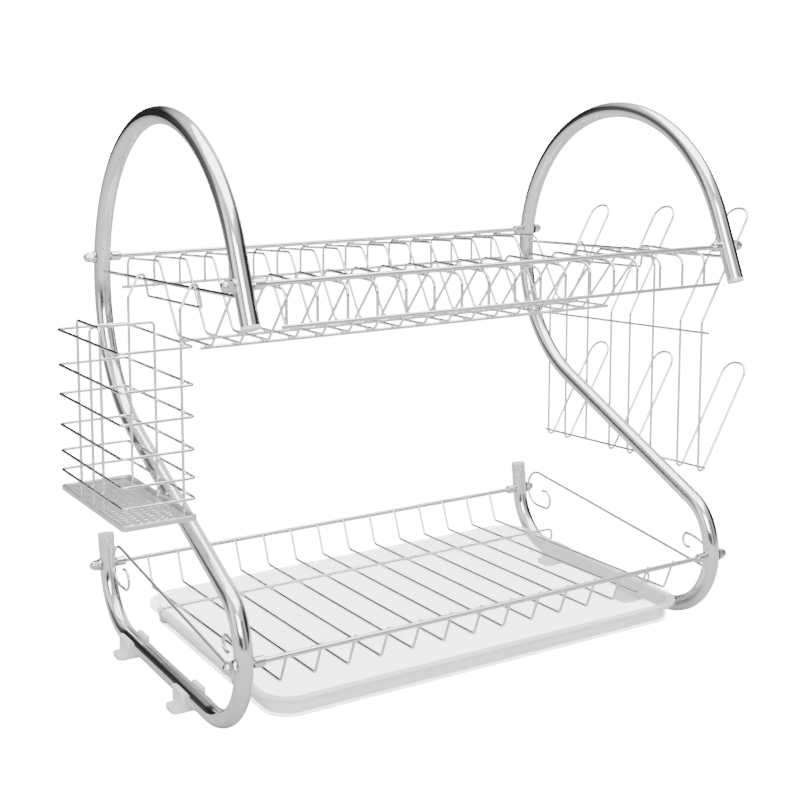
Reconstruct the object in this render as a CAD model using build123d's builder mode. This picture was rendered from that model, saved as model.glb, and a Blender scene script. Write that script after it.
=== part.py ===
from build123d import *

import os
from math import acos, atan2, cos, hypot, pi, radians, sin, tan

# Two-tier dish drying rack: two S-shaped frame tubes carry a plate rack above a drainer, with a
# cutlery basket hung outside the left tube and a cup holder outside the right one. Millimetres,
# X along the rack, Y to the back, Z up, origin on the counter under the middle of the rack.

os.makedirs("parts", exist_ok=True)

# Frame tubes, named in the order in which one tube runs from its rear end to its front end
SPAN = 380.0  # between the middle planes of the two tubes
TUBE_D = 12.0
TUBE_WALL = 1.0
REAR_TIP_Y = 128.9
REAR_LEAN = 7.2
REAR_POST = 25.3
REAR_BEND = 43.0
BAR = 145.7
TOE_BEND = 50.4
TOE_TURN = 119.1
KNEE_BEND = 32.3
KNEE_TURN = 36.7
DIAGONAL = 163.6
SHOULDER_BEND = 106.3
SHOULDER_TURN = 48.3
ARCH_BEND = 120.5
ARCH_TURN = 175.2
TAIL = 47.1
PLUG_HEAD = 2.0
PLUG_STEM = 8.0

# Wire sizes
RAIL_D = 3.6
SKIRT_D = 2.6
HANGER_D = 2.6
WIRE_D = 2.0
WELD_GAP = 0.02  # between the surfaces of two wires that are welded across each other
FIT = 0.1  # around a shank or stem in its hole
RUNNING = 0.3  # between a piece that lifts or slides and what carries it

# Where the rails are bolted to the tubes
LOWER_BOLT_FROM_TIP = 20.8  # along the rear post
UPPER_BACK_Z = 283.6
UPPER_BOLT_FROM_TAIL = 24.6  # along the front tail

# Bolts, nuts and ferrules
STUD_D = 3.6
STUD_IN_FERRULE = 4.0
STUD_IN_NUT = 5.0
FERRULE_D = 7.0
FERRULE_LENGTH = 7.5
WASHER_D = 9.0
WASHER_THICKNESS = 1.0
NUT_ACROSS_CORNERS = 8.0
NUT_HEX = 3.6
NUT_DOME_D = 6.8

# Plate rack
DIVIDERS = 17
DIVIDER_PITCH = 20.4
DIVIDER_OFFSET = -4.0  # of the middle divider from the middle of the rack
OVERHANG = 10.0  # of the dividers past each rail
SKIRT_DROP = 26.0
TROUGH_DEPTH = 50.0
TROUGH_BACK_TOP = 67.0
TROUGH_BACK_LOW = 35.0
TROUGH_FRONT_LOW = -21.0
TROUGH_FRONT_TOP = -65.0
TROUGH_WIRE_INSET = 9.0
LONG_WIRE_HALF = 171.0
DIVIDER_BEND = 7.0
SHOULDER_RISE = 2.0  # of the dividers from the rails to the edges of the trough
HANGER_BACK_DROP = 10.0
HANGER_FRONT_DROP = 7.6
HANGER_END_GAP = 0.6

# Drainer
CROSS_WIRES = 14
CROSS_PITCH = 24.2
CROSS_OFFSET = -2.3  # of the middle of the cross wires from the middle of the rack
FLOOR_DROP = 21.0
WALL_INSET = 9.5
CROSS_END_RISE = 1.5
CROSS_BEND = 3.0

# Tray and the wire hooks that carry its rim
TRAY_LENGTH = 344.0
TRAY_WIDTH = 222.0
TRAY_RIM = 5.0
TRAY_RIM_THICKNESS = 2.0
TRAY_DEPTH = 12.0
TRAY_WALL = 1.6
TRAY_CORNER = 26.0
TRAY_DRAFT = 8.0
TRAY_RIM_Z = 26.3
HOOK_BACK_Y = 60.0
HOOK_FRONT_Y = -62.0
HOOK_REACH = 175.0
HOOK_TOE = 8.0
HOOK_BEND = 4.0

# Scroll wires and curls in the planes of the tubes, at the ends of the drainer
SCROLL_D = 2.2
SCROLL_RISE = 6.2
SCROLL_TOP_Z = 72.0
SCROLL_BACK_BEND = 14.5
SCROLL_POST_GAP = 6.0
SCROLL_FOOT = 9.5
SCROLL_END_BEND = 7.5
SCROLL_END_GAP = 0.4
CURL_START_RISE = 6.0
CURL_HEADING = 26.0
CURL_BEND = 40.0
CURL_END_BEND = 5.2
CURL_END_GAP = 0.9

# Feet
FOOT_BASE = 3.9
FOOT_REAR_Y = 74.0
FOOT_FRONT_Y = -26.0
FOOT_LENGTH = 16.0
FOOT_SADDLE = 17.0
FOOT_SADDLE_TOP = 14.0
FOOT_TAB = 6.0

# Things hung on the hanger wires
HUNG_OUTSIDE = 9.4  # from the hanger wire out to the upright wires
HUNG_INSIDE = 5.0  # from the hanger wire in to the end of each hook
HUNG_HOOK_DROP = 12.5
HUNG_CLEAR = 0.4
HUNG_BEND = 4.0
HUNG_CORNER = 2.0

BASKET_LENGTH = 118.0
BASKET_MIDDLE = -3.0
BASKET_HOOKS = 91.0
BASKET_LEGS = -2.0  # the middle of its two hooks
BASKET_RING_DROPS = (32.8, 56.6, 76.5, 97.3, 115.2, 128.4)
BASKET_REACH = 245.5  # from the middle of the rack to the outside of the basket's base
BASKET_SLOPE = 0.021  # of its rings and base, rising to the front
BASKET_BEND = 3.0
BASKET_BASE_DROP = 142.3
BASE_SHEET = 1.0
BASE_LIP = 3.0
BASE_HOLE = 3.4
BASE_HOLE_PITCH = 5.6
DIVIDER_TOP_DROP = 22.5
SIDE_DIVIDER_MIDDLE = -0.5
CROSS_DIVIDER_MIDDLE = -3.0
SIDE_DIVIDER_WIDTH = 43.0

CUP_MIDDLE = 5.5
CUP_REACH = 250.0  # from the middle of the rack to the outside of the lower tips
CUP_SLOPE = 0.058  # of its bars and rows of tips, rising to the front
CUP_PITCH = 80.8
CUP_LEGS = 23.0
CUP_HOOKS = 80.0
CUP_HOOK_MIDDLE = 6.8
CUP_BAR_HALF = 97.0
CUP_BAR_MIDDLE = 1.0
CUP_MID_BAR_DROP = 60.3
CUP_LOW_BAR_DROP = 162.6
CUP_SHOULDER_DROP = 53.0
CUP_UPPER_TIP_RISE = 30.0
CUP_UPPER_TIP_X = 246.5
CUP_LOWER_TIP_DROP = 90.0
CUP_TURN_DROP = 175.0
CUP_TIP_BEND = 10.5
CUP_TURN_BEND = 3.0

# Worked out from the sizes above
BAR_Z = FOOT_BASE + FIT + TUBE_D / 2
HEADING = -90.0 - REAR_LEAN
REAR_TIP_Z = BAR_Z + REAR_BEND * (1 - sin(radians(REAR_LEAN))) + REAR_POST * cos(radians(REAR_LEAN))
FRAME_X = SPAN / 2
INSIDE_X = FRAME_X - TUBE_D / 2
OUTSIDE_X = FRAME_X + TUBE_D / 2
FRAME_RUNS = (
    (REAR_POST,),
    (REAR_BEND, REAR_LEAN - 90.0),
    (BAR,),
    (TOE_BEND, -TOE_TURN),
    (KNEE_BEND, -KNEE_TURN),
    (DIAGONAL,),
    (SHOULDER_BEND, SHOULDER_TURN),
    (ARCH_BEND, ARCH_TURN),
    (TAIL,),
)


def ahead(point, heading, distance):
    """The point (y, z) that lies a distance away along a heading in degrees."""
    return (point[0] + distance * cos(radians(heading)), point[1] + distance * sin(radians(heading)))


def bend_centre(point, heading, radius, turn):
    """The centre of a bend that starts at a point and turns left when turn is positive."""
    return ahead(point, heading + (90.0 if turn > 0 else -90.0), radius)


def frame_stations():
    """The start of each run of a frame tube and the tube's end, as ((y, z), heading)."""
    point, heading = (REAR_TIP_Y, REAR_TIP_Z), HEADING
    stations = [(point, heading)]
    for run in FRAME_RUNS:
        if len(run) == 1:
            point = ahead(point, heading, run[0])
        else:
            radius, turn = run
            centre = bend_centre(point, heading, radius, turn)
            heading += turn
            point = ahead(centre, heading - (90.0 if turn > 0 else -90.0), radius)
        stations.append((point, heading))
    return stations


STATIONS = frame_stations()
TAIL_END, TAIL_HEADING = STATIONS[-1]
ARCH_CENTRE = bend_centre(*STATIONS[7], ARCH_BEND, ARCH_TURN)
TOE_START = STATIONS[3][0]

LOWER_BACK = ahead((REAR_TIP_Y, REAR_TIP_Z), HEADING, LOWER_BOLT_FROM_TIP)
LOWER_FRONT = (TOE_START[0] - TOE_BEND, BAR_Z + TOE_BEND)
UPPER_FRONT = ahead(TAIL_END, TAIL_HEADING, -UPPER_BOLT_FROM_TAIL)


def arch_back(z):
    """The y of a frame tube's axis at a height on the back of its arch."""
    return ARCH_CENTRE[0] + ARCH_BEND * sin(acos((ARCH_CENTRE[1] - z) / ARCH_BEND))


UPPER_BACK = (arch_back(UPPER_BACK_Z), UPPER_BACK_Z)
BOLTS = (LOWER_BACK, LOWER_FRONT, UPPER_BACK, UPPER_FRONT)


def between(back, front, y):
    """The height at y on the straight line through two (y, z) points."""
    return back[1] + (front[1] - back[1]) * (back[0] - y) / (back[0] - front[0])


def upper(y, drop=0.0):
    """A point (y, z) of the plate rack, a drop below the line through its two rails."""
    return (y, between(UPPER_BACK, UPPER_FRONT, y) - drop)


def lower(y, drop=0.0):
    """A point (y, z) of the drainer, a drop below the line through its two rails."""
    return (y, between(LOWER_BACK, LOWER_FRONT, y) - drop)


def clear_of(*diameters):
    """The distance between the axes of two pieces that are welded across each other."""
    return sum(diameters) / 2 + WELD_GAP


def sweep_round(path, diameter):
    """Sweeps a round section along the path that was just drawn."""
    with BuildSketch(Plane(origin=path.line @ 0, z_dir=path.line % 0)) as section:
        Circle(diameter / 2)
    sweep(section.sketch, path=path.line)


def bent_wire(points, bend, diameter, closed=False):
    """Adds one wire through the points, bent at each corner."""
    with BuildLine() as path:
        FilletPolyline(*points, radius=bend, close=closed)
    sweep_round(path, diameter)


def rod(start, end, diameter):
    """Adds one straight wire between two points."""
    with BuildLine() as path:
        Line(start, end)
    sweep_round(path, diameter)


def along_x(y, z, half, diameter):
    """Adds one straight wire along the rack, its ends half a length from the middle."""
    rod((-half, y, z), (half, y, z), diameter)


def export(part, name):
    """Labels a finished piece and writes it."""
    part.label = name
    export_step(part, f"parts/{name}.step")


def mirrored(part):
    """The right-hand copy of a left-hand piece."""
    return mirror(part, about=Plane.YZ)


def pair(part, stem):
    """Writes a left-hand piece and its right-hand copy."""
    export(part, f"left_{stem}")
    export(mirrored(part), f"right_{stem}")


# Frame tubes ------------------------------------------------------------------------------------

with BuildPart() as frame_tube:
    with BuildLine(Plane.YZ.offset(-FRAME_X)) as frame_path:
        piece = None
        for run in FRAME_RUNS:
            if piece is None:
                piece = PolarLine((REAR_TIP_Y, REAR_TIP_Z), run[0], HEADING)
            elif len(run) == 1:
                piece = Line(piece @ 1, piece @ 1 + (piece % 1) * run[0])
            else:
                piece = JernArc(piece @ 1, piece % 1, run[0], run[1])
    with BuildSketch(Plane(origin=frame_path.line @ 0, z_dir=frame_path.line % 0)):
        Circle(TUBE_D / 2)
        Circle(TUBE_D / 2 - TUBE_WALL, mode=Mode.SUBTRACT)
    sweep(path=frame_path.line)
    for bolt_y, bolt_z in BOLTS:
        with Locations((-FRAME_X, bolt_y, bolt_z)):
            Cylinder(STUD_D / 2 + FIT, TUBE_D * 2, rotation=(0, 90, 0), mode=Mode.SUBTRACT)
pair(frame_tube.part, "frame_tube")


def end_plug(tip, outward):
    """Adds the plug that closes a tube end, its head outside and its stem in the bore."""
    outward_dir = Vector(0, cos(radians(outward)), sin(radians(outward)))
    seat = Plane(origin=Vector(-FRAME_X, *tip) + outward_dir * WELD_GAP, z_dir=outward_dir)
    with BuildSketch(seat) as head:
        Circle(TUBE_D / 2)
    extrude(head.sketch, amount=PLUG_HEAD)
    with BuildSketch(seat) as stem:
        Circle(TUBE_D / 2 - TUBE_WALL - FIT)
    extrude(stem.sketch, amount=-PLUG_STEM)


with BuildPart() as rear_plug:
    end_plug((REAR_TIP_Y, REAR_TIP_Z), HEADING + 180.0)
pair(rear_plug.part, "rear_end_plug")

with BuildPart() as front_plug:
    end_plug(TAIL_END, TAIL_HEADING)
pair(front_plug.part, "front_end_plug")

# Feet -------------------------------------------------------------------------------------------


def foot(y):
    """Adds a foot clipped round the bottom bar, with a flat base wider than the bar."""
    with BuildSketch() as sole:
        with Locations((-FRAME_X, y)):
            RectangleRounded(FOOT_SADDLE + 2 * FOOT_TAB, FOOT_LENGTH, FOOT_LENGTH / 4)
    extrude(sole.sketch, amount=FOOT_BASE * 0.75)
    with BuildSketch() as saddle:
        with Locations((-FRAME_X, y)):
            Rectangle(FOOT_SADDLE, FOOT_LENGTH)
    extrude(saddle.sketch, amount=FOOT_SADDLE_TOP)
    with Locations((-FRAME_X, y, BAR_Z)):
        Cylinder(TUBE_D / 2 + FIT, FOOT_LENGTH * 2, rotation=(90, 0, 0), mode=Mode.SUBTRACT)
    with Locations((-FRAME_X, y, BAR_Z + TUBE_D / 2)):
        Box(TUBE_D - 1.0, FOOT_LENGTH * 2, TUBE_D, mode=Mode.SUBTRACT)


with BuildPart() as rear_foot:
    foot(FOOT_REAR_Y)
pair(rear_foot.part, "rear_foot")

with BuildPart() as front_foot:
    foot(FOOT_FRONT_Y)
pair(front_foot.part, "front_foot")

# Fasteners --------------------------------------------------------------------------------------


def at_bolts(part):
    """A copy of a left-hand fastener at each bolt of the left tube, and their mirror images."""
    left = [Pos(0, y, z) * part for y, z in BOLTS]
    return Compound(children=left + [mirrored(copy) for copy in left])


FERRULE_X = INSIDE_X - FIT
WASHER_X = OUTSIDE_X + FIT
NUT_X = WASHER_X + WASHER_THICKNESS + WELD_GAP
STUD_START = FERRULE_X - STUD_IN_FERRULE
STUD_END = NUT_X + STUD_IN_NUT


with BuildPart() as ferrule:
    with BuildSketch(Plane.YZ.offset(-FERRULE_X)):
        Circle(FERRULE_D / 2)
        Circle(RAIL_D / 2 + FIT, mode=Mode.SUBTRACT)
    extrude(amount=FERRULE_LENGTH)
    chamfer(ferrule.edges().filter_by(GeomType.CIRCLE).sort_by(SortBy.RADIUS)[-2:], 0.6)
export(at_bolts(ferrule.part), "rail_ferrules")

with BuildPart() as stud:
    with BuildSketch(Plane.YZ.offset(-STUD_END)):
        Circle(STUD_D / 2)
    extrude(amount=STUD_END - STUD_START)
export(at_bolts(stud.part), "studs")

with BuildPart() as washer:
    with BuildSketch(Plane.YZ.offset(-WASHER_X)):
        Circle(WASHER_D / 2)
        Circle(STUD_D / 2 + FIT, mode=Mode.SUBTRACT)
    extrude(amount=-WASHER_THICKNESS)
export(at_bolts(washer.part), "washers")

with BuildPart() as acorn_nut:
    with BuildSketch(Plane.YZ.offset(-NUT_X)):
        RegularPolygon(NUT_ACROSS_CORNERS / 2, 6)
    extrude(amount=-NUT_HEX)
    with Locations((-NUT_X - NUT_HEX, 0, 0)):
        Sphere(NUT_DOME_D / 2)
    with BuildSketch(Plane.YZ.offset(-NUT_X)):
        Circle(STUD_D / 2 + FIT)
    extrude(amount=-STUD_IN_NUT - FIT, mode=Mode.SUBTRACT)
    split(bisect_by=Plane.YZ.offset(-NUT_X), keep=Keep.BOTTOM)
export(at_bolts(acorn_nut.part), "acorn_nuts")

# Plate rack -------------------------------------------------------------------------------------

RAIL_HALF = STUD_START - RUNNING
UNDER_RAIL = clear_of(RAIL_D, WIRE_D)
BACK_LEG_Y = UPPER_BACK[0] + OVERHANG
FRONT_LEG_Y = UPPER_FRONT[0] - OVERHANG
SKIRT_OFFSET = clear_of(WIRE_D, SKIRT_D)

for name, rail in (("upper_back_rail", UPPER_BACK), ("upper_front_rail", UPPER_FRONT)):
    with BuildPart() as upper_rail:
        along_x(*rail, RAIL_HALF, RAIL_D)
    export(upper_rail.part, name)



def shoulder(rail, edge, y):
    """A point of a divider's shoulder, which rises from under a rail to the edge of the trough."""
    slope = SHOULDER_RISE / abs(rail[0] - edge)
    return upper(y, UNDER_RAIL * hypot(1, slope) - slope * (abs(rail[0]) - abs(y)))


DIVIDER_OUTLINE = (
    upper(BACK_LEG_Y, SKIRT_DROP),
    shoulder(UPPER_BACK, TROUGH_BACK_TOP, BACK_LEG_Y),
    shoulder(UPPER_BACK, TROUGH_BACK_TOP, TROUGH_BACK_TOP),
    upper(TROUGH_BACK_LOW, TROUGH_DEPTH),
    upper(TROUGH_FRONT_LOW, TROUGH_DEPTH),
    shoulder(UPPER_FRONT, TROUGH_FRONT_TOP, TROUGH_FRONT_TOP),
    shoulder(UPPER_FRONT, TROUGH_FRONT_TOP, FRONT_LEG_Y),
    upper(FRONT_LEG_Y, SKIRT_DROP),
)


def spread(count, pitch):
    """Places along the rack, evenly about its middle."""
    return [(k - (count - 1) / 2) * pitch for k in range(count)]


with BuildPart() as plate_dividers:
    for x in spread(DIVIDERS, DIVIDER_PITCH):
        bent_wire([(x + DIVIDER_OFFSET, y, z) for y, z in DIVIDER_OUTLINE], DIVIDER_BEND, WIRE_D)
export(plate_dividers.part, "plate_dividers")

with BuildPart() as back_skirt_wire:
    along_x(*upper(BACK_LEG_Y + SKIRT_OFFSET, SKIRT_DROP - SKIRT_D / 2), LONG_WIRE_HALF, SKIRT_D)
export(back_skirt_wire.part, "upper_back_skirt_wire")

with BuildPart() as front_skirt_wire:
    along_x(*upper(FRONT_LEG_Y - SKIRT_OFFSET, SKIRT_DROP - SKIRT_D / 2), LONG_WIRE_HALF, SKIRT_D)
export(front_skirt_wire.part, "upper_front_skirt_wire")

TROUGH_WIRE_DROP = TROUGH_DEPTH + clear_of(WIRE_D, SKIRT_D)
with BuildPart() as back_trough_wire:
    along_x(*upper(TROUGH_BACK_LOW - TROUGH_WIRE_INSET, TROUGH_WIRE_DROP), LONG_WIRE_HALF, SKIRT_D)
export(back_trough_wire.part, "upper_back_trough_wire")

with BuildPart() as front_trough_wire:
    along_x(*upper(TROUGH_FRONT_LOW + TROUGH_WIRE_INSET, TROUGH_WIRE_DROP), LONG_WIRE_HALF, SKIRT_D)
export(front_trough_wire.part, "upper_front_trough_wire")

# The hanger wire spans each arch in the middle plane of its tube, welded to it at both ends.
HANGER_BACK_Z = UPPER_BACK[1] - HANGER_BACK_DROP
HANGER_FRONT_Z = UPPER_FRONT[1] - HANGER_FRONT_DROP
TAIL_LEAN = radians(-90.0 - TAIL_HEADING)
TAIL_INNER_Y = TAIL_END[0] + (HANGER_FRONT_Z - TAIL_END[1]) * tan(TAIL_LEAN) + TUBE_D / 2 / cos(TAIL_LEAN)
HANGER_BACK = (arch_back(HANGER_BACK_Z) - TUBE_D / 2 - HANGER_END_GAP, HANGER_BACK_Z)
HANGER_FRONT = (TAIL_INNER_Y + HANGER_END_GAP, HANGER_FRONT_Z)

with BuildPart() as hanger_wire:
    rod((-FRAME_X, *HANGER_BACK), (-FRAME_X, *HANGER_FRONT), HANGER_D)
pair(hanger_wire.part, "hanger_wire")

# Drainer ----------------------------------------------------------------------------------------

for name, rail in (("lower_back_rail", LOWER_BACK), ("lower_front_rail", LOWER_FRONT)):
    with BuildPart() as lower_rail:
        along_x(*rail, RAIL_HALF, RAIL_D)
    export(lower_rail.part, name)

WALL_DROP = FLOOR_DROP + CROSS_END_RISE
WALL_LENGTH = hypot(WALL_DROP, WALL_INSET)
WALL_TOP_OFFSET = ((clear_of(RAIL_D, WIRE_D) + WELD_GAP) * WALL_LENGTH - CROSS_END_RISE * WALL_INSET) / WALL_DROP
CROSS_BACK_TOP = LOWER_BACK[0] - WALL_TOP_OFFSET
CROSS_FRONT_TOP = LOWER_FRONT[0] + WALL_TOP_OFFSET
CROSS_OUTLINE = (
    lower(CROSS_BACK_TOP, -CROSS_END_RISE),
    lower(CROSS_BACK_TOP - WALL_INSET, FLOOR_DROP),
    lower(CROSS_FRONT_TOP + WALL_INSET, FLOOR_DROP),
    lower(CROSS_FRONT_TOP, -CROSS_END_RISE),
)

with BuildPart() as cross_wires:
    for x in spread(CROSS_WIRES, CROSS_PITCH):
        bent_wire([(x + CROSS_OFFSET, y, z) for y, z in CROSS_OUTLINE], CROSS_BEND, WIRE_D)
export(cross_wires.part, "drainer_cross_wires")

ON_FLOOR = FLOOR_DROP - clear_of(WIRE_D, WIRE_D)
UNDER_FLOOR = FLOOR_DROP + clear_of(WIRE_D, WIRE_D)
TRAY_HOOK_Z = TRAY_RIM_Z - RUNNING - WIRE_D / 2
TRAY_HOOK_TOE_X = HOOK_REACH - HOOK_TOE


def tray_hook(side, y, z):
    """The corners of one tray hook, from its outer bend in to its toe under the tray's rim."""
    return [
        (side * HOOK_REACH, y, z),
        (side * HOOK_REACH, y, TRAY_HOOK_Z),
        (side * TRAY_HOOK_TOE_X, y, TRAY_HOOK_Z),
    ]


with BuildPart() as floor_wire:
    hook_y, hook_z = lower(HOOK_BACK_Y, ON_FLOOR)
    hook_left = tray_hook(-1, hook_y, hook_z)
    bent_wire(hook_left[::-1] + tray_hook(1, hook_y, hook_z), HOOK_BEND, WIRE_D)
export(floor_wire.part, "drainer_floor_wire")

with BuildPart() as front_tray_hook:
    hook_y, hook_z = lower(HOOK_FRONT_Y, UNDER_FLOOR)
    first_cross_x = CROSS_PITCH * (CROSS_WIRES - 1) / 2
    inner_end = (-first_cross_x + CROSS_PITCH * 0.2, hook_y, hook_z)
    bent_wire([inner_end] + tray_hook(-1, hook_y, hook_z), HOOK_BEND, WIRE_D)
pair(front_tray_hook.part, "front_tray_hook")

# Each scroll wire lies in the middle plane of its tube, from the inside of the toe bend up to the
# back, where it rolls down the inside of the rear post. The curl is a shorter wire above it.
TOE_CENTRE = (TOE_START[0], BAR_Z + TOE_BEND)
ROLL_CENTRE_Z = SCROLL_TOP_Z - SCROLL_BACK_BEND * cos(radians(SCROLL_RISE))
POST_AXIS_Y = REAR_TIP_Y - (REAR_TIP_Z - ROLL_CENTRE_Z) * tan(radians(REAR_LEAN))
ROLL_REACH = TUBE_D / 2 + SCROLL_POST_GAP + SCROLL_D / 2 + SCROLL_BACK_BEND
ROLL_CENTRE_Y = POST_AXIS_Y - ROLL_REACH / cos(radians(REAR_LEAN))
SCROLL_TURN = (ROLL_CENTRE_Y - SCROLL_BACK_BEND * sin(radians(SCROLL_RISE)), SCROLL_TOP_Z)


def back_to_toe(point, heading, radius):
    """How far back along a heading a circle about the toe bend's centre lies from a point."""
    from_centre = (point[0] - TOE_CENTRE[0], point[1] - TOE_CENTRE[1])
    ahead_of_centre = from_centre[0] * cos(radians(heading)) + from_centre[1] * sin(radians(heading))
    beside_centre = from_centre[1] * cos(radians(heading)) - from_centre[0] * sin(radians(heading))
    return ahead_of_centre + (radius**2 - beside_centre**2) ** 0.5


TOE_INNER = TOE_BEND - TUBE_D / 2
SCROLL_RUN = back_to_toe(SCROLL_TURN, SCROLL_RISE, TOE_INNER - SCROLL_END_GAP)
SCROLL_START = ahead(SCROLL_TURN, SCROLL_RISE, -SCROLL_RUN)
CURL_REACH = ((TOE_INNER - CURL_END_GAP) ** 2 - CURL_START_RISE**2) ** 0.5
CURL_START = (TOE_CENTRE[0] - CURL_REACH, TOE_CENTRE[1] + CURL_START_RISE)

with BuildPart() as side_scroll:
    with BuildLine(Plane.YZ.offset(-FRAME_X)) as scroll_path:
        rise = PolarLine(SCROLL_START, SCROLL_RUN, SCROLL_RISE)
        roll = JernArc(rise @ 1, rise % 1, SCROLL_BACK_BEND, -180.0 - SCROLL_RISE)
        foot_run = Line(roll @ 1, roll @ 1 + (roll % 1) * SCROLL_FOOT)
        JernArc(foot_run @ 1, foot_run % 1, SCROLL_END_BEND, -210.0)
    sweep_round(scroll_path, SCROLL_D)
pair(side_scroll.part, "side_scroll")

with BuildPart() as front_curl:
    with BuildLine(Plane.YZ.offset(-FRAME_X)) as curl_path:
        toward = (cos(radians(CURL_HEADING)), sin(radians(CURL_HEADING)))
        lift = JernArc(CURL_START, toward, CURL_BEND, -CURL_HEADING)
        JernArc(lift @ 1, lift % 1, CURL_END_BEND, -200.0)
    sweep_round(curl_path, SCROLL_D)
pair(front_curl.part, "front_curl")

# Drip tray --------------------------------------------------------------------------------------

with BuildPart() as drip_tray:
    with BuildSketch(Plane.XY.offset(TRAY_RIM_Z)):
        RectangleRounded(TRAY_LENGTH, TRAY_WIDTH, TRAY_CORNER)
    extrude(amount=TRAY_RIM_THICKNESS)
    with BuildSketch(Plane.XY.offset(TRAY_RIM_Z)):
        RectangleRounded(TRAY_LENGTH - 2 * TRAY_RIM, TRAY_WIDTH - 2 * TRAY_RIM, TRAY_CORNER - TRAY_RIM)
    extrude(amount=-TRAY_DEPTH, taper=TRAY_DRAFT)
    inner = TRAY_RIM + TRAY_WALL
    with BuildSketch(Plane.XY.offset(TRAY_RIM_Z + TRAY_RIM_THICKNESS)):
        RectangleRounded(TRAY_LENGTH - 2 * inner, TRAY_WIDTH - 2 * inner, TRAY_CORNER - inner)
    extrude(amount=TRAY_WALL - TRAY_DEPTH - TRAY_RIM_THICKNESS, taper=TRAY_DRAFT, mode=Mode.SUBTRACT)
export(drip_tray.part, "drip_tray")

# Hung pieces ------------------------------------------------------------------------------------

HANGER_SLOPE = (HANGER_FRONT[1] - HANGER_BACK[1]) / (HANGER_BACK[0] - HANGER_FRONT[0])
HANGER_MIDDLE_Z = between(HANGER_BACK, HANGER_FRONT, 0.0)


def hung(x, y, drop, slope):
    """A point that hangs a drop below the hanger wire's middle, in a row that rises to the front."""
    return (x, y, HANGER_MIDDLE_Z - y * slope - drop)


HUNG_X = FRAME_X + HUNG_OUTSIDE
HOOK_BEND_R = (HANGER_D + WIRE_D) / 2 + HUNG_CLEAR


def hook_apex():
    """Where the two legs of a hook, both tangent to its bend round the hanger wire, would meet."""
    outer_angle = atan2(-HUNG_HOOK_DROP, HUNG_OUTSIDE)
    inner_angle = pi - atan2(-HUNG_HOOK_DROP, HUNG_INSIDE)
    outer_touch = outer_angle + acos(HOOK_BEND_R / hypot(HUNG_OUTSIDE, HUNG_HOOK_DROP))
    inner_touch = inner_angle - acos(HOOK_BEND_R / hypot(HUNG_INSIDE, HUNG_HOOK_DROP))
    middle = (outer_touch + inner_touch) / 2
    distance = HOOK_BEND_R / cos((inner_touch - outer_touch) / 2)
    return distance * cos(middle), distance * sin(middle)


def hook_wire(side, back, front, foot_drop, foot_slope):
    """Adds the wire of two hooks over the hanger wire, joined inside and running down outside."""
    apex_out, apex_up = hook_apex()
    half = [
        (side * HUNG_X, foot_drop, foot_slope),
        (side * HUNG_X, HUNG_HOOK_DROP, HANGER_SLOPE),
        (side * (FRAME_X + apex_out), -apex_up, HANGER_SLOPE),
        (side * (FRAME_X - HUNG_INSIDE), HUNG_HOOK_DROP, HANGER_SLOPE),
    ]
    corners = [hung(x, back, *rest) for x, *rest in half]
    corners += [hung(x, front, *rest) for x, *rest in half[::-1]]
    bends = [HUNG_BEND, HOOK_BEND_R, HUNG_CORNER, HUNG_CORNER, HOOK_BEND_R, HUNG_BEND]
    bent_wire(corners, bends, WIRE_D)


BASKET_IN_X = HUNG_X - clear_of(WIRE_D, WIRE_D)
BASKET_OUT_X = BASKET_REACH - WIRE_D / 2
BASKET_LEG_X = BASKET_OUT_X - clear_of(WIRE_D, WIRE_D)
BASKET_BACK = BASKET_MIDDLE + BASKET_LENGTH / 2
BASKET_FRONT = BASKET_MIDDLE - BASKET_LENGTH / 2
LEG_FOOT_DROP = BASKET_BASE_DROP - BASE_SHEET - WELD_GAP


def in_basket(x, y, drop):
    """A point of the basket, on the left of the rack."""
    return hung(-x, y, drop, BASKET_SLOPE)


with BuildPart() as basket_hook:
    hook_back = BASKET_LEGS + BASKET_HOOKS / 2
    hook_front = BASKET_LEGS - BASKET_HOOKS / 2
    hook_wire(-1, hook_back, hook_front, LEG_FOOT_DROP, BASKET_SLOPE)
export(basket_hook.part, "basket_hook_wire")

for number, drop in enumerate(BASKET_RING_DROPS, 1):
    with BuildPart() as basket_ring:
        corners = [
            in_basket(BASKET_IN_X, BASKET_FRONT, drop),
            in_basket(BASKET_OUT_X, BASKET_FRONT, drop),
            in_basket(BASKET_OUT_X, BASKET_BACK, drop),
            in_basket(BASKET_IN_X, BASKET_BACK, drop),
        ]
        bent_wire(corners, BASKET_BEND, WIRE_D, closed=True)
    export(basket_ring.part, f"basket_ring_{number}")

with BuildPart() as side_divider:
    divider_back = SIDE_DIVIDER_MIDDLE + SIDE_DIVIDER_WIDTH / 2
    divider_front = SIDE_DIVIDER_MIDDLE - SIDE_DIVIDER_WIDTH / 2
    corners = [
        in_basket(BASKET_LEG_X, divider_back, LEG_FOOT_DROP),
        in_basket(BASKET_LEG_X, divider_back, DIVIDER_TOP_DROP),
        in_basket(BASKET_LEG_X, divider_front, DIVIDER_TOP_DROP),
        in_basket(BASKET_LEG_X, divider_front, LEG_FOOT_DROP),
    ]
    bent_wire(corners, BASKET_BEND, WIRE_D)
export(side_divider.part, "basket_side_divider")

CROSS_TOP_DROP = DIVIDER_TOP_DROP + clear_of(WIRE_D, WIRE_D)
with BuildPart() as cross_divider:
    corners = [
        in_basket(BASKET_LEG_X, CROSS_DIVIDER_MIDDLE, LEG_FOOT_DROP),
        in_basket(BASKET_LEG_X, CROSS_DIVIDER_MIDDLE, CROSS_TOP_DROP),
        in_basket(HUNG_X, CROSS_DIVIDER_MIDDLE, CROSS_TOP_DROP),
        in_basket(HUNG_X, CROSS_DIVIDER_MIDDLE, LEG_FOOT_DROP),
    ]
    bent_wire(corners, BASKET_BEND, WIRE_D)
export(cross_divider.part, "basket_cross_divider")

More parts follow.
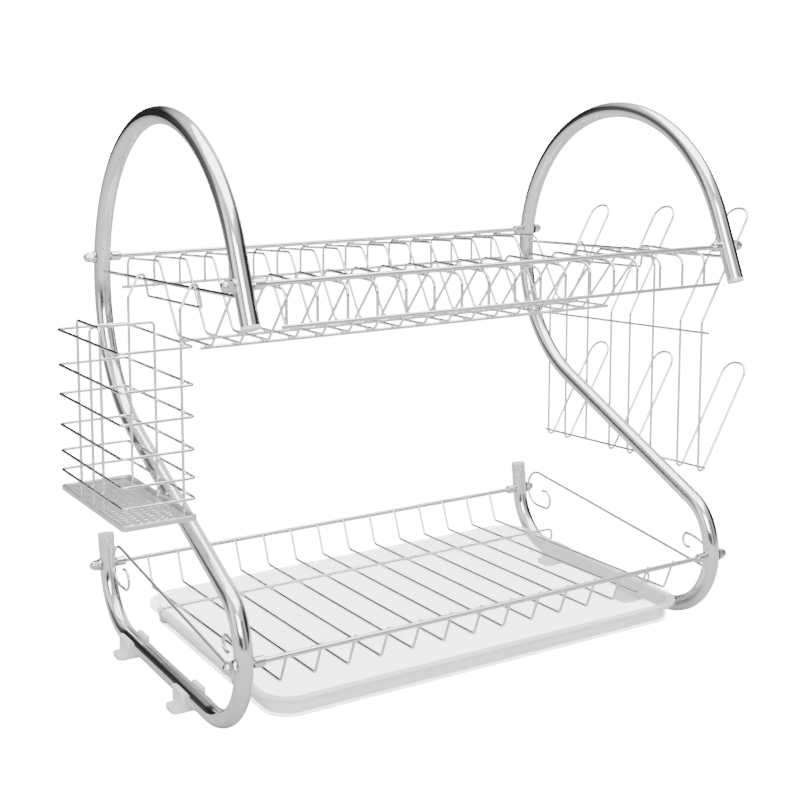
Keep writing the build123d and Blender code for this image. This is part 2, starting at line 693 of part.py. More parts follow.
BASE_LENGTH = BASKET_LENGTH + WIRE_D
BASE_WIDTH = BASKET_OUT_X - BASKET_IN_X + WIRE_D
BASE_PLANE = Plane(
    origin=in_basket((BASKET_IN_X + BASKET_OUT_X) / 2, BASKET_MIDDLE, BASKET_BASE_DROP),
    x_dir=(1, 0, 0),
    z_dir=(0, BASKET_SLOPE, 1),
)

with BuildPart() as basket_base:
    with BuildSketch(BASE_PLANE):
        RectangleRounded(BASE_WIDTH, BASE_LENGTH, BASKET_BEND)
    extrude(amount=BASE_LIP)
    with BuildSketch(BASE_PLANE.offset(BASE_SHEET)):
        RectangleRounded(BASE_WIDTH - 2 * BASE_SHEET, BASE_LENGTH - 2 * BASE_SHEET, BASKET_BEND - BASE_SHEET)
    extrude(amount=BASE_LIP, mode=Mode.SUBTRACT)
    with BuildSketch(BASE_PLANE):
        columns = int((BASE_WIDTH - 4 * BASE_SHEET) // BASE_HOLE_PITCH)
        rows = int((BASE_LENGTH - 4 * BASE_SHEET) // BASE_HOLE_PITCH)
        with GridLocations(BASE_HOLE_PITCH, BASE_HOLE_PITCH, columns, rows):
            Rectangle(BASE_HOLE, BASE_HOLE)
    extrude(amount=BASE_SHEET, mode=Mode.SUBTRACT)
export(basket_base.part, "basket_base")


def on_cup_holder(x, y, drop):
    """A point of the cup holder, on the right of the rack."""
    return hung(x, y, drop, CUP_SLOPE)


with BuildPart() as cup_hook:
    hook_back = CUP_HOOK_MIDDLE + CUP_HOOKS / 2
    hook_front = CUP_HOOK_MIDDLE - CUP_HOOKS / 2
    hook_wire(1, hook_back, hook_front, CUP_LOW_BAR_DROP + WIRE_D / 2, CUP_SLOPE)
export(cup_hook.part, "cup_hook_wire")

CUP_LOWER_TIP_X = CUP_REACH - WIRE_D / 2
LOOP_OUTLINE = (
    (CUP_UPPER_TIP_X, -CUP_UPPER_TIP_RISE),
    (HUNG_X, CUP_SHOULDER_DROP),
    (HUNG_X, CUP_TURN_DROP),
    (CUP_LOWER_TIP_X, CUP_LOWER_TIP_DROP),
)
for number, along in enumerate(spread(3, CUP_PITCH), 1):
    with BuildPart() as cup_loop:
        middle = CUP_MIDDLE + along
        back = [on_cup_holder(x, middle + CUP_LEGS / 2, drop) for x, drop in LOOP_OUTLINE]
        front = [on_cup_holder(x, middle - CUP_LEGS / 2, drop) for x, drop in LOOP_OUTLINE]
        upper_tip = on_cup_holder(CUP_UPPER_TIP_X, middle, -CUP_UPPER_TIP_RISE)
        lower_tip = on_cup_holder(CUP_LOWER_TIP_X, middle, CUP_LOWER_TIP_DROP)
        bends = [CUP_TIP_BEND, HUNG_BEND, CUP_TURN_BEND, CUP_TIP_BEND]
        for leg in (back, front):
            bent_wire([upper_tip] + leg + [lower_tip], bends, WIRE_D)
    export(cup_loop.part, f"cup_loop_{number}")

BAR_X = HUNG_X - clear_of(WIRE_D, WIRE_D)
for name, drop in (("cup_middle_bar", CUP_MID_BAR_DROP), ("cup_lower_bar", CUP_LOW_BAR_DROP)):
    with BuildPart() as cup_bar:
        bar_back = on_cup_holder(BAR_X, CUP_BAR_MIDDLE + CUP_BAR_HALF, drop)
        bar_front = on_cup_holder(BAR_X, CUP_BAR_MIDDLE - CUP_BAR_HALF, drop)
        rod(bar_back, bar_front, WIRE_D)
    export(cup_bar.part, name)
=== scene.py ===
from math import pi, radians

import bmesh
import bpy
from mathutils import Matrix, Vector
from mathutils.bvhtree import BVHTree


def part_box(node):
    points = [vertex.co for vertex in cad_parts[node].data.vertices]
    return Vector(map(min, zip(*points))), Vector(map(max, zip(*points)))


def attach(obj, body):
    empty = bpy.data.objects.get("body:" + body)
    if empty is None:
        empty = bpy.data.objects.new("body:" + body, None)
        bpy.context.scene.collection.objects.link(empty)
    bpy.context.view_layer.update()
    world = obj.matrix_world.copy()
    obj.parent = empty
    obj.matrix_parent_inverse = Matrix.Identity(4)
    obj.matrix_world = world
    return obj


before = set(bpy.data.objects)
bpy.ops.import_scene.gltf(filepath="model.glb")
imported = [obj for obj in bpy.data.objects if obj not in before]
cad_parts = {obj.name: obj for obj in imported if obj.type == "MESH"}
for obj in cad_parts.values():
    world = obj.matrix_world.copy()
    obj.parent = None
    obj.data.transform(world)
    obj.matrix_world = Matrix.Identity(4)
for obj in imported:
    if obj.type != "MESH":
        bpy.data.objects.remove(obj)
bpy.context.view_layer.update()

bl_info = {
    "name": "Dish Drying Rack",
    "version": (1, 0, 0),
    "blender": (4, 5, 0),
    "location": "3D View > Sidebar > Dish Rack",
    "description": "Finishes and fine detail for a two-tier chrome dish drying rack",
    "category": "Object",
}

TUBES = ("left_frame_tube", "right_frame_tube")
FASTENERS = ("acorn_nuts", "washers", "studs", "rail_ferrules")
PLUGS = ("left_rear_end_plug", "left_front_end_plug", "right_rear_end_plug", "right_front_end_plug")
FEET = ("left_rear_foot", "left_front_foot", "right_rear_foot", "right_front_foot")
NOTCH_STEPS = 2  # rings of the rim to each notch
BUMP_DEPTH = 0.0002
BEAD_SQUASH = (1.15, 1.0, 0.85, 1.0)
ROLL_SEGMENTS = 10
CORNER_STEPS = 6
RIM_SINK = 0.6  # of the roll's radius, into the base's lip
FLOOR_HALF = 6.0
FLOOR_GLOW_SHARE = 0.9
LIGHT_TARGET = (0.0, 0.0, 0.2)
CEILING = (0.55, 0.55, 0.55, 1.0)
CEILING_RISE = (0.45, 0.75)  # height of the view at which walls turn to ceiling
ROOM_WALLS = (  # brightness of the walls by heading, once round the room
    (0.0, 0.35), (0.02, 0.80), (0.05, 0.04), (0.12, 0.01), (0.15, 0.10), (0.22, 0.90),
    (0.27, 0.95), (0.30, 0.10), (0.40, 0.05), (0.44, 0.01), (0.52, 0.02), (0.56, 0.25),
    (0.62, 0.9), (0.66, 0.95), (0.69, 0.10), (0.77, 0.01), (0.85, 0.02), (0.89, 0.40), (0.95, 0.12),
)
SOFT_BOXES = (  # name, place, width and power
    ("overhead_softbox", (0.1, -0.2, 2.2), 2.4, 110.0),
    ("front_softbox", (-1.2, -2.0, 1.3), 1.2, 60.0),
)


# Settings ---------------------------------------------------------------------------------------


def colour(name, description, default):
    """A colour that a user may change."""
    return bpy.props.FloatVectorProperty(
        name=name, description=description, default=default, size=3, subtype="COLOR", min=0.0, max=1.0
    )


def length(name, description, default):
    """A size in metres that a user may change."""
    return bpy.props.FloatProperty(name=name, description=description, default=default, unit="LENGTH", min=0.0)


class RackFinishes(bpy.types.PropertyGroup):
    """The colours of the rack's finishes."""

    tube: colour("Tube", "Plating of the two bent tubes", (0.55, 0.55, 0.55))
    wire: colour("Wire", "Plating of the rails and wires", (0.18, 0.18, 0.18))
    fastener: colour("Nuts", "Plating of the nuts, washers and ferrules", (0.50, 0.45, 0.40))
    base: colour("Basket base", "Pierced steel under the cutlery", (0.22, 0.22, 0.22))
    plug: colour("Plugs", "Plastic caps in the tube ends", (0.62, 0.62, 0.61))
    foot: colour("Feet", "Clip-on plastic feet", (0.84, 0.85, 0.84))
    tray: colour("Tray", "Moulded plastic of the drip tray", (0.88, 0.80, 0.75))
    floor: colour("Floor", "Paper that the rack stands on", (0.42, 0.42, 0.42))


class WeldSizes(bpy.types.PropertyGroup):
    """The beads where wires are welded across each other."""

    radius: length("Bead radius", "Half the width of one weld bead", 0.0015)
    reach: length("Reach", "The widest gap between two wires that a bead still joins", 0.0005)
    spacing: length("Spacing", "The least distance between two beads on one wire", 0.004)
    step: length("Step", "How closely a wire is searched for its crossings", 0.001)


class RimSizes(bpy.types.PropertyGroup):
    """The rolled rim of the cutlery basket's base."""

    radius: length("Roll radius", "Half the thickness of the rolled edge", 0.0014)
    corner: length("Corner", "Radius of the rim's corners, at the middle of the roll", 0.0055)
    pitch: length("Notch pitch", "Distance from notch to notch along the rim", 0.0050)
    notch: bpy.props.FloatProperty(
        name="Notch",
        description="How far each notch narrows the roll",
        default=0.22,
        min=0.0,
        max=0.9,
        subtype="FACTOR",
    )
    slope: bpy.props.FloatProperty(
        name="Slope", description="Rise of the base towards the front, for each unit of length", default=0.021
    )


class StageSettings(bpy.types.PropertyGroup):
    """The camera and the light."""

    place: bpy.props.FloatVectorProperty(
        name="Camera", description="Place of the camera", default=(-0.52585, -0.84534, 0.40585), size=3, subtype="XYZ"
    )
    turn: bpy.props.FloatProperty(
        name="Turn", description="Heading of the camera", default=radians(-31.33), subtype="ANGLE"
    )
    tilt: bpy.props.FloatProperty(
        name="Tilt", description="Camera's fall below level", default=radians(7.446), subtype="ANGLE"
    )
    lens: bpy.props.FloatProperty(
        name="Lens", description="Focal length in millimetres", default=62.73, min=1.0
    )
    shift: bpy.props.FloatProperty(
        name="Shift", description="Fall of the frame below the lens axis", default=-0.165
    )
    surround: bpy.props.FloatProperty(
        name="Surround", description="Strength of the room's light", default=2.2, min=0.0
    )
    backdrop: bpy.props.FloatProperty(
        name="Backdrop", description="Brightness of the plain white backdrop", default=22.0, min=0.0
    )


class DishRackSettings(bpy.types.PropertyGroup):
    """Every setting of the dish rack."""

    finishes: bpy.props.PointerProperty(type=RackFinishes)
    welds: bpy.props.PointerProperty(type=WeldSizes)
    rim: bpy.props.PointerProperty(type=RimSizes)
    stage: bpy.props.PointerProperty(type=StageSettings)


# Effects that the finishes share ----------------------------------------------------------------


def effect(name, inputs, output, build):
    """The node group of that name, built once: inputs are its named sockets, output its one result."""
    group = bpy.data.node_groups.get(name)
    if group is None:
        group = bpy.data.node_groups.new(name, "ShaderNodeTree")
        for label, kind in inputs:
            group.interface.new_socket(name=label, in_out="INPUT", socket_type=kind)
        group.interface.new_socket(name=output[0], in_out="OUTPUT", socket_type=output[1])
        source = group.nodes.new("NodeGroupInput")
        result = group.nodes.new("NodeGroupOutput")
        group.links.new(build(group, source.outputs), result.inputs[output[0]])
    return group


def cloudy(group, coordinates, scale, detail):
    """Soft noise over the surface, from 0 to 1."""
    noise = group.nodes.new("ShaderNodeTexNoise")
    noise.inputs["Detail"].default_value = detail
    group.links.new(coordinates, noise.inputs["Vector"])
    group.links.new(scale, noise.inputs["Scale"])
    return noise.outputs["Fac"]


def build_smudges(group, given):
    """Roughness that drifts between two values, as handling leaves it."""
    spread = group.nodes.new("ShaderNodeMapRange")
    spread.inputs["From Min"].default_value = 0.35
    spread.inputs["From Max"].default_value = 0.68
    group.links.new(cloudy(group, given["Coordinates"], given["Scale"], 4.0), spread.inputs["Value"])
    group.links.new(given["Clean"], spread.inputs["To Min"])
    group.links.new(given["Handled"], spread.inputs["To Max"])
    return spread.outputs["Result"]


def build_tone(group, given):
    """A colour that drifts between two near tones."""
    mix = group.nodes.new("ShaderNodeMix")
    mix.data_type = "RGBA"
    group.links.new(cloudy(group, given["Coordinates"], given["Scale"], 2.0), mix.inputs["Factor"])
    group.links.new(given["Light"], mix.inputs["A"])
    group.links.new(given["Dark"], mix.inputs["B"])
    return mix.outputs["Result"]


def build_skin(group, given):
    """The fine height of a drawn, plated or moulded surface."""
    return cloudy(group, given["Coordinates"], given["Scale"], 3.0)


COORDINATES = ("Coordinates", "NodeSocketVector")
SCALE = ("Scale", "NodeSocketFloat")


def placed(material, group, coordinates, values):
    """One use of an effect in a material, with its own values."""
    node = material.node_tree.nodes.new("ShaderNodeGroup")
    node.node_tree = group
    material.node_tree.links.new(coordinates, node.inputs["Coordinates"])
    for label, value in values.items():
        node.inputs[label].default_value = value
    return node.outputs[0]


def finish(name, tint, shade, rough, skin, metallic=0.0, smudge_scale=60.0, tone_scale=25.0, **constants):
    """A material: tint with a darker shade of it, roughness between two values and a fine skin."""
    material = bpy.data.materials.get(name)
    if material is not None:
        return material
    material = bpy.data.materials.new(name)
    material.use_nodes = True
    tree = material.node_tree
    shader = tree.nodes["Principled BSDF"]
    where = tree.nodes.new("ShaderNodeTexCoord").outputs["Object"]
    sockets = [COORDINATES, SCALE, ("Light", "NodeSocketColor"), ("Dark", "NodeSocketColor")]
    tone = effect("drifting_tone", sockets, ("Colour", "NodeSocketColor"), build_tone)
    sockets = [COORDINATES, SCALE, ("Clean", "NodeSocketFloat"), ("Handled", "NodeSocketFloat")]
    smudges = effect("handled_smudges", sockets, ("Roughness", "NodeSocketFloat"), build_smudges)
    fine = effect("surface_skin", [COORDINATES, SCALE], ("Height", "NodeSocketFloat"), build_skin)
    light = (*tint, 1.0)
    dark = (*[shade * part for part in tint], 1.0)
    tones = placed(material, tone, where, {"Scale": tone_scale, "Light": light, "Dark": dark})
    tree.links.new(tones, shader.inputs["Base Color"])
    values = {"Scale": smudge_scale, "Clean": rough[0], "Handled": rough[1]}
    tree.links.new(placed(material, smudges, where, values), shader.inputs["Roughness"])
    bump = tree.nodes.new("ShaderNodeBump")
    bump.inputs["Strength"].default_value = skin[1]
    bump.inputs["Distance"].default_value = BUMP_DEPTH
    tree.links.new(placed(material, fine, where, {"Scale": skin[0]}), bump.inputs["Height"])
    tree.links.new(bump.outputs["Normal"], shader.inputs["Normal"])
    shader.inputs["Metallic"].default_value = metallic
    for label, value in constants.items():
        shader.inputs[label.replace("_", " ")].default_value = value
    material.diffuse_color = light
    return material


def tube_chrome():
    """Mirror plating of the bent tubes."""
    tint = bpy.context.scene.dish_rack.finishes.tube
    return finish("tube_chrome", tint, 0.96, (0.03, 0.07), (300.0, 0.03), metallic=1.0)


def wire_chrome():
    """Bright plating of the drawn wires."""
    tint = bpy.context.scene.dish_rack.finishes.wire
    return finish("wire_chrome", tint, 0.85, (0.08, 0.16), (700.0, 0.08), metallic=1.0, smudge_scale=120.0)


def fastener_chrome():
    """Warm plating of the pressed nuts."""
    tint = bpy.context.scene.dish_rack.finishes.fastener
    return finish("fastener_chrome", tint, 0.88, (0.07, 0.15), (900.0, 0.06), metallic=1.0, smudge_scale=300.0)


def base_steel():
    """Satin plating of the basket's pierced base, with painted shade in fine dark speckles for its holes."""
    tint = bpy.context.scene.dish_rack.finishes.base
    # The dark tone at a quarter of the tint, drifting at a fine scale, is painted shade: speckles that stand for the
    # shaded holes of the pierced base, which the mesh does not cut.
    return finish(
        "base_steel", tint, 0.25, (0.16, 0.28), (900.0, 0.12), metallic=1.0, smudge_scale=200.0, tone_scale=700.0
    )


def plug_plastic():
    """Pale moulded plastic of the end caps."""
    tint = bpy.context.scene.dish_rack.finishes.plug
    return finish("plug_plastic", tint, 0.93, (0.28, 0.38), (900.0, 0.15), smudge_scale=200.0)


def foot_plastic():
    """Milky plastic of the clip-on feet."""
    tint = bpy.context.scene.dish_rack.finishes.foot
    return finish("foot_plastic", tint, 0.94, (0.25, 0.36), (900.0, 0.12), smudge_scale=200.0)


def tray_plastic():
    """Pale plastic of the drip tray, with a fine moulded grain and a little light through it."""
    tint = bpy.context.scene.dish_rack.finishes.tray
    return finish(
        "tray_plastic", tint, 0.96, (0.30, 0.42), (1500.0, 0.10), tone_scale=12.0, Subsurface_Weight=0.15,
        Subsurface_Scale=0.004,
    )


# Shaping ----------------------------------------------------------------------------------------


def dress(names, material):
    """Gives a finish to the named pieces of the frame."""
    for name in names:
        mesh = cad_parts[name].data
        mesh.materials.clear()
        mesh.materials.append(material)


def new_piece(name, work, material, body):
    """Turns a finished bmesh into a piece that rides on a body."""
    bmesh.ops.remove_doubles(work, verts=work.verts, dist=1e-6)
    bmesh.ops.recalc_face_normals(work, faces=work.faces)
    mesh = bpy.data.meshes.new(name)
    work.to_mesh(mesh)
    work.free()
    mesh.shade_smooth()
    mesh.materials.append(material)
    piece = bpy.data.objects.new(name, mesh)
    bpy.context.scene.collection.objects.link(piece)
    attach(piece, body)
    return piece


def along_edges(mesh, step):
    """Points on every edge of a mesh, no further apart than the step."""
    for edge in mesh.edges:
        start, end = (mesh.vertices[index].co for index in edge.vertices)
        runs = int((end - start).length / step) + 1
        for index in range(runs + 1):
            yield start.lerp(end, index / runs)


def surface(mesh):
    """A search tree over a mesh's faces."""
    corners = [vertex.co for vertex in mesh.vertices]
    return BVHTree.FromPolygons(corners, [tuple(face.vertices) for face in mesh.polygons])


def crossings(wire, across, sizes):
    """The points where one node's wires touch another's, the nearest touch of each crossing."""
    tree = surface(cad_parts[across].data)
    touches = []
    for point in along_edges(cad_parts[wire].data, sizes.step):
        spot, _, _, gap = tree.find_nearest(point, sizes.reach)
        if spot is not None:
            touches.append((gap, (point + spot) / 2))
    touches.sort(key=lambda touch: touch[0])
    kept = []
    for _, point in touches:
        if all((point - other).length > sizes.spacing for other in kept):
            kept.append(point)
    return kept


def add_welds(name, joined, body):
    """One piece that holds a squashed bead at each crossing of the named pairs of nodes."""
    sizes = bpy.context.scene.dish_rack.welds
    work = bmesh.new()
    squash = Matrix.Diagonal(BEAD_SQUASH)
    count = 0
    for wire, across in joined:
        for point in crossings(wire, across, sizes):
            place = Matrix.Translation(point) @ squash
            bmesh.ops.create_icosphere(work, subdivisions=2, radius=sizes.radius, matrix=place)
            count += 1
    if not count:
        raise RuntimeError(f"{name} found no crossings")
    return new_piece(name, work, wire_chrome(), body)


def ring_edges(parts):
    """The edges among what an operator gave back."""
    return [part for part in parts if isinstance(part, bmesh.types.BMEdge)]


def ring_corners(parts):
    """The corners among what an operator gave back."""
    return [part for part in parts if isinstance(part, bmesh.types.BMVert)]


def resized(work, corners, factor):
    """Grows or shrinks a ring about its own middle."""
    middle = sum((corner.co for corner in corners), Vector()) / len(corners)
    bmesh.ops.scale(work, verts=corners, vec=(factor,) * 3, space=Matrix.Translation(-middle))


def notched_run(work, ring, shift, steps, notch):
    """Draws a ring of edges out along a run, each second ring pinched, and gives its last ring."""
    for index in range(steps):
        drawn = bmesh.ops.extrude_edge_only(work, edges=ring)["geom"]
        corners = ring_corners(drawn)
        bmesh.ops.translate(work, verts=corners, vec=shift / steps)
        ring = [edge for edge in ring_edges(drawn) if all(corner in corners for corner in edge.verts)]
        pinched = index % NOTCH_STEPS == 0
        resized(work, corners, 1.0 - notch if pinched else 1.0 / (1.0 - notch))
    return ring


# Operators --------------------------------------------------------------------------------------


class DISHRACK_OT_plate_tubes(bpy.types.Operator):
    """Mirror plating on the two bent tubes"""

    bl_idname = "dish_rack.plate_tubes"
    bl_label = "Plate tubes"

    def execute(self, context):
        dress(TUBES, tube_chrome())
        return {"FINISHED"}


class DISHRACK_OT_plate_wires(bpy.types.Operator):
    """Bright plating on the rails, the dividers and every other wire"""

    bl_idname = "dish_rack.plate_wires"
    bl_label = "Plate wires"

    def execute(self, context):
        others = {*TUBES, *FASTENERS, *PLUGS, *FEET, "drip_tray", "basket_base"}
        dress(sorted(set(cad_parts) - others), wire_chrome())
        return {"FINISHED"}


class DISHRACK_OT_plate_fasteners(bpy.types.Operator):
    """Warm plating on the nuts, washers, studs and ferrules"""

    bl_idname = "dish_rack.plate_fasteners"
    bl_label = "Plate fasteners"

    def execute(self, context):
        dress(FASTENERS, fastener_chrome())
        return {"FINISHED"}


class DISHRACK_OT_mould_plastics(bpy.types.Operator):
    """Moulded plastic on the end caps, the feet and the tray"""

    bl_idname = "dish_rack.mould_plastics"
    bl_label = "Mould plastics"

    def execute(self, context):
        dress(PLUGS, plug_plastic())
        dress(FEET, foot_plastic())
        dress(("drip_tray",), tray_plastic())
        return {"FINISHED"}


class DISHRACK_OT_weld_plate_rack(bpy.types.Operator):
    """Weld beads where the dividers cross the long wires of the upper rack"""

    bl_idname = "dish_rack.weld_plate_rack"
    bl_label = "Weld plate rack"

    def execute(self, context):
        kinds = ("rail", "skirt_wire", "trough_wire")
        long_wires = [f"upper_{side}_{kind}" for side in ("back", "front") for kind in kinds]
        add_welds("plate_rack_welds", [(wire, "plate_dividers") for wire in long_wires], "rack")
        return {"FINISHED"}


class DISHRACK_OT_weld_drainer(bpy.types.Operator):
    """Weld beads where the drainer's wires cross"""

    bl_idname = "dish_rack.weld_drainer"
    bl_label = "Weld drainer"

    def execute(self, context):
        rails = ("lower_back_rail", "lower_front_rail")
        long_wires = (*rails, "drainer_floor_wire", "left_front_tray_hook", "right_front_tray_hook")
        add_welds("drainer_welds", [(wire, "drainer_cross_wires") for wire in long_wires], "rack")
        return {"FINISHED"}


class DISHRACK_OT_weld_basket(bpy.types.Operator):
    """Weld beads where the cutlery basket's rings cross its uprights"""

    bl_idname = "dish_rack.weld_basket"
    bl_label = "Weld basket"

    def execute(self, context):
        uprights = ("basket_hook_wire", "basket_side_divider", "basket_cross_divider")
        rings = [f"basket_ring_{number}" for number in range(1, 7)]
        add_welds("basket_welds", [(upright, ring) for upright in uprights for ring in rings], "cutlery_basket")
        return {"FINISHED"}


class DISHRACK_OT_weld_cup_holder(bpy.types.Operator):
    """Weld beads where the cup holder's loops cross its bars"""

    bl_idname = "dish_rack.weld_cup_holder"
    bl_label = "Weld cup holder"

    def execute(self, context):
        bars = ("cup_middle_bar", "cup_lower_bar")
        held = ["cup_hook_wire"] + [f"cup_loop_{number}" for number in range(1, 4)]
        add_welds("cup_holder_welds", [(bar, wire) for bar in bars for wire in held], "cup_holder")
        return {"FINISHED"}


class DISHRACK_OT_roll_basket_rim(bpy.types.Operator):
    """The notched, rolled rim around the cutlery basket's base"""

    bl_idname = "dish_rack.roll_basket_rim"
    bl_label = "Roll basket rim"

    def execute(self, context):
        sizes = context.scene.dish_rack.rim
        low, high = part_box("basket_base")
        middle = (low + high) / 2
        half_x = (high.x - low.x) / 2 - sizes.radius
        half_y = (high.y - low.y) / 2 - sizes.radius
        half_z = (high.z - low.z) / 2
        top = half_z - sizes.slope * (high.y - low.y) / 2 - sizes.radius * RIM_SINK
        corner = sizes.corner
        work = bmesh.new()
        upright = Matrix.Rotation(pi / 2, 4, "X")
        start = Matrix.Translation((half_x, -half_y + corner, top))
        circle = bmesh.ops.create_circle(work, segments=ROLL_SEGMENTS, radius=sizes.radius, matrix=start @ upright)["verts"]
        ring = list({edge for vertex in circle for edge in vertex.link_edges})
        sides = (
            (Vector((0, 1, 0)), half_y, Vector((half_x - corner, half_y - corner, top))),
            (Vector((-1, 0, 0)), half_x, Vector((corner - half_x, half_y - corner, top))),
            (Vector((0, -1, 0)), half_y, Vector((corner - half_x, corner - half_y, top))),
            (Vector((1, 0, 0)), half_x, Vector((half_x - corner, corner - half_y, top))),
        )
        for heading, half, centre in sides:
            run = 2 * (half - corner)
            steps = NOTCH_STEPS * max(1, int(run / sizes.pitch))
            ring = notched_run(work, ring, heading * run, steps, sizes.notch)
            turned = bmesh.ops.spin(
                work, geom=ring, cent=centre, axis=(0, 0, 1), angle=pi / 2, steps=CORNER_STEPS, use_merge=False
            )["geom_last"]
            ring = ring_edges(turned)
        slant = Matrix(((1, 0, 0, 0), (0, 1, 0, 0), (0, -sizes.slope, 1, 0), (0, 0, 0, 1)))
        bmesh.ops.transform(work, matrix=Matrix.Translation(middle) @ slant, verts=work.verts)
        new_piece("basket_base_rim", work, base_steel(), "cutlery_basket")
        return {"FINISHED"}


def floor_paper():
    """Matt pale paper, lit through from below so that it meets the backdrop."""
    settings = bpy.context.scene.dish_rack
    paper = finish("floor_paper", settings.finishes.floor, 0.99, (0.85, 0.95), (50.0, 0.01), tone_scale=1.0)
    tree = paper.node_tree
    glow = tree.nodes.new("ShaderNodeEmission")
    glow.inputs["Strength"].default_value = settings.stage.backdrop
    seen = tree.nodes.new("ShaderNodeLightPath")
    share = tree.nodes.new("ShaderNodeMath")
    share.operation = "MULTIPLY"
    share.inputs[1].default_value = FLOOR_GLOW_SHARE
    tree.links.new(seen.outputs["Is Camera Ray"], share.inputs[0])
    lit = tree.nodes.new("ShaderNodeMixShader")
    tree.links.new(share.outputs["Value"], lit.inputs["Fac"])
    tree.links.new(tree.nodes["Principled BSDF"].outputs["BSDF"], lit.inputs[1])
    tree.links.new(glow.outputs["Emission"], lit.inputs[2])
    tree.links.new(lit.outputs["Shader"], tree.nodes["Material Output"].inputs["Surface"])
    return paper


def surround_light(strength, backdrop_strength):
    """A white room with dark gaps between its light walls, which the chrome shows as streaks."""
    world = bpy.data.worlds.new("soft_studio")
    bpy.context.scene.world = world
    world.use_nodes = True
    tree = world.node_tree
    tree.nodes.clear()
    where = tree.nodes.new("ShaderNodeTexCoord").outputs["Generated"]
    split = tree.nodes.new("ShaderNodeSeparateXYZ")
    tree.links.new(where, split.inputs["Vector"])
    heading = tree.nodes.new("ShaderNodeMath")
    heading.operation = "ARCTAN2"
    tree.links.new(split.outputs["X"], heading.inputs[0])
    tree.links.new(split.outputs["Y"], heading.inputs[1])
    turn = tree.nodes.new("ShaderNodeMapRange")
    turn.inputs["From Min"].default_value = -pi
    turn.inputs["From Max"].default_value = pi
    tree.links.new(heading.outputs["Value"], turn.inputs["Value"])
    walls = tree.nodes.new("ShaderNodeValToRGB")
    ramp = walls.color_ramp
    ramp.elements.remove(ramp.elements[1])
    for index, (place, value) in enumerate(ROOM_WALLS):
        stop = ramp.elements.new(place) if index else ramp.elements[0]
        stop.position = place
        stop.color = (value, value, value, 1.0)
    tree.links.new(turn.outputs["Result"], walls.inputs["Fac"])
    height = tree.nodes.new("ShaderNodeMapRange")
    height.inputs["From Min"].default_value = CEILING_RISE[0]
    height.inputs["From Max"].default_value = CEILING_RISE[1]
    tree.links.new(split.outputs["Z"], height.inputs["Value"])
    ceiling = tree.nodes.new("ShaderNodeMix")
    ceiling.data_type = "RGBA"
    ceiling.inputs["B"].default_value = CEILING
    tree.links.new(height.outputs["Result"], ceiling.inputs["Factor"])
    tree.links.new(walls.outputs["Color"], ceiling.inputs["A"])
    room = tree.nodes.new("ShaderNodeBackground")
    room.inputs["Strength"].default_value = strength
    tree.links.new(ceiling.outputs["Result"], room.inputs["Color"])
    backdrop = tree.nodes.new("ShaderNodeBackground")
    backdrop.inputs["Color"].default_value = (1.0, 1.0, 1.0, 1.0)
    backdrop.inputs["Strength"].default_value = backdrop_strength
    seen = tree.nodes.new("ShaderNodeLightPath")
    choose = tree.nodes.new("ShaderNodeMixShader")
    tree.links.new(seen.outputs["Is Camera Ray"], choose.inputs["Fac"])
    tree.links.new(room.outputs["Background"], choose.inputs[1])
    tree.links.new(backdrop.outputs["Background"], choose.inputs[2])
    world_output = tree.nodes.new("ShaderNodeOutputWorld")
    tree.links.new(choose.outputs["Shader"], world_output.inputs["Surface"])


def soft_box(name, place, target, size, power):
    """One large soft light aimed at a point."""
    lamp = bpy.data.lights.new(name, "AREA")
    lamp.shape = "SQUARE"
    lamp.size = size
    lamp.energy = power
    holder = bpy.data.objects.new(name, lamp)
    holder.location = place
    holder.rotation_euler = (Vector(target) - Vector(place)).to_track_quat("-Z", "Y").to_euler()
    bpy.context.scene.collection.objects.link(holder)


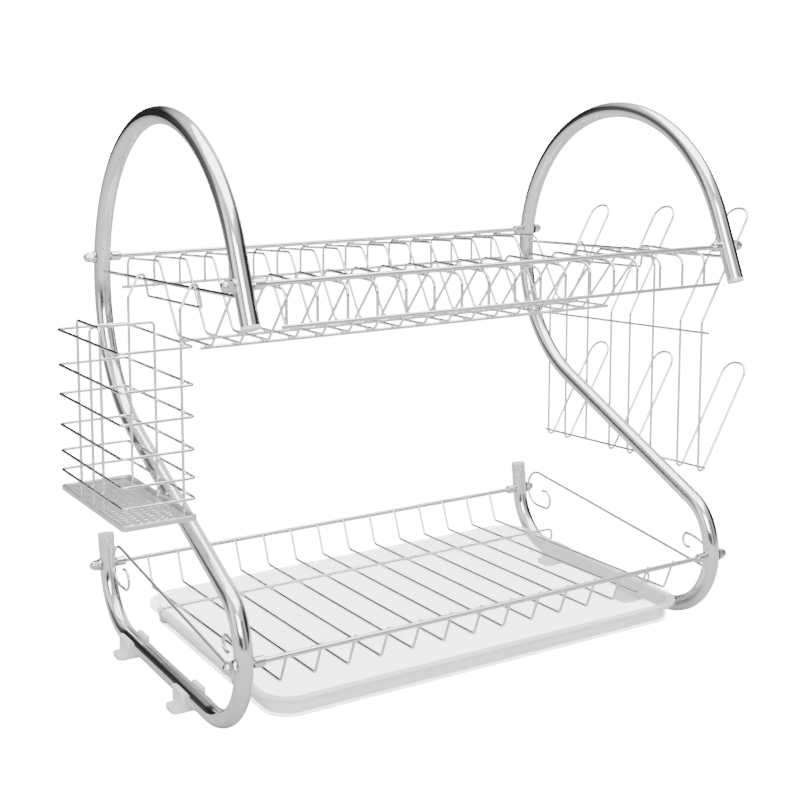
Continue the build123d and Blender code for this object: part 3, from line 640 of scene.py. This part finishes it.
class DISHRACK_OT_set_stage(bpy.types.Operator):
    """The floor, the light and the camera"""

    bl_idname = "dish_rack.set_stage"
    bl_label = "Set stage"

    def execute(self, context):
        settings = context.scene.dish_rack.stage
        work = bmesh.new()
        bmesh.ops.create_grid(work, x_segments=1, y_segments=1, size=FLOOR_HALF)
        mesh = bpy.data.meshes.new("studio_floor")
        work.to_mesh(mesh)
        work.free()
        mesh.materials.append(floor_paper())
        floor = bpy.data.objects.new("studio_floor", mesh)
        context.scene.collection.objects.link(floor)
        surround_light(settings.surround, settings.backdrop)
        for name, place, width, power in SOFT_BOXES:
            soft_box(name, place, LIGHT_TARGET, width, power)
        lens = bpy.data.cameras.new("camera")
        lens.lens = settings.lens
        lens.sensor_width = 36.0
        lens.shift_y = settings.shift
        lens.dof.use_dof = False
        lens.clip_start = 0.01
        camera = bpy.data.objects.new("camera", lens)
        camera.location = settings.place
        camera.rotation_euler = (pi / 2 - settings.tilt, 0.0, settings.turn)
        context.scene.collection.objects.link(camera)
        context.scene.camera = camera
        return {"FINISHED"}


OPERATORS = (
    DISHRACK_OT_set_stage,
    DISHRACK_OT_plate_tubes,
    DISHRACK_OT_plate_wires,
    DISHRACK_OT_plate_fasteners,
    DISHRACK_OT_mould_plastics,
    DISHRACK_OT_weld_plate_rack,
    DISHRACK_OT_weld_drainer,
    DISHRACK_OT_weld_basket,
    DISHRACK_OT_weld_cup_holder,
    DISHRACK_OT_roll_basket_rim,
)


class DISHRACK_PT_panel(bpy.types.Panel):
    """Lists the steps that finish the rack"""

    bl_idname = "DISHRACK_PT_panel"
    bl_label = "Dish Drying Rack"
    bl_space_type = "VIEW_3D"
    bl_region_type = "UI"
    bl_category = "Dish Rack"

    def draw(self, context):
        for operator in OPERATORS:
            self.layout.operator(operator.bl_idname)


CLASSES = (RackFinishes, WeldSizes, RimSizes, StageSettings, DishRackSettings, *OPERATORS, DISHRACK_PT_panel)


def register():
    for each in CLASSES:
        bpy.utils.register_class(each)
    bpy.types.Scene.dish_rack = bpy.props.PointerProperty(type=DishRackSettings)


def unregister():
    del bpy.types.Scene.dish_rack
    for each in reversed(CLASSES):
        bpy.utils.unregister_class(each)


def main():
    """Builds the stage and every piece."""
    register()
    for operator in OPERATORS:
        group, step = operator.bl_idname.split(".")
        getattr(getattr(bpy.ops, group), step)()
    bpy.context.view_layer.update()


if __name__ == "__main__":
    main()
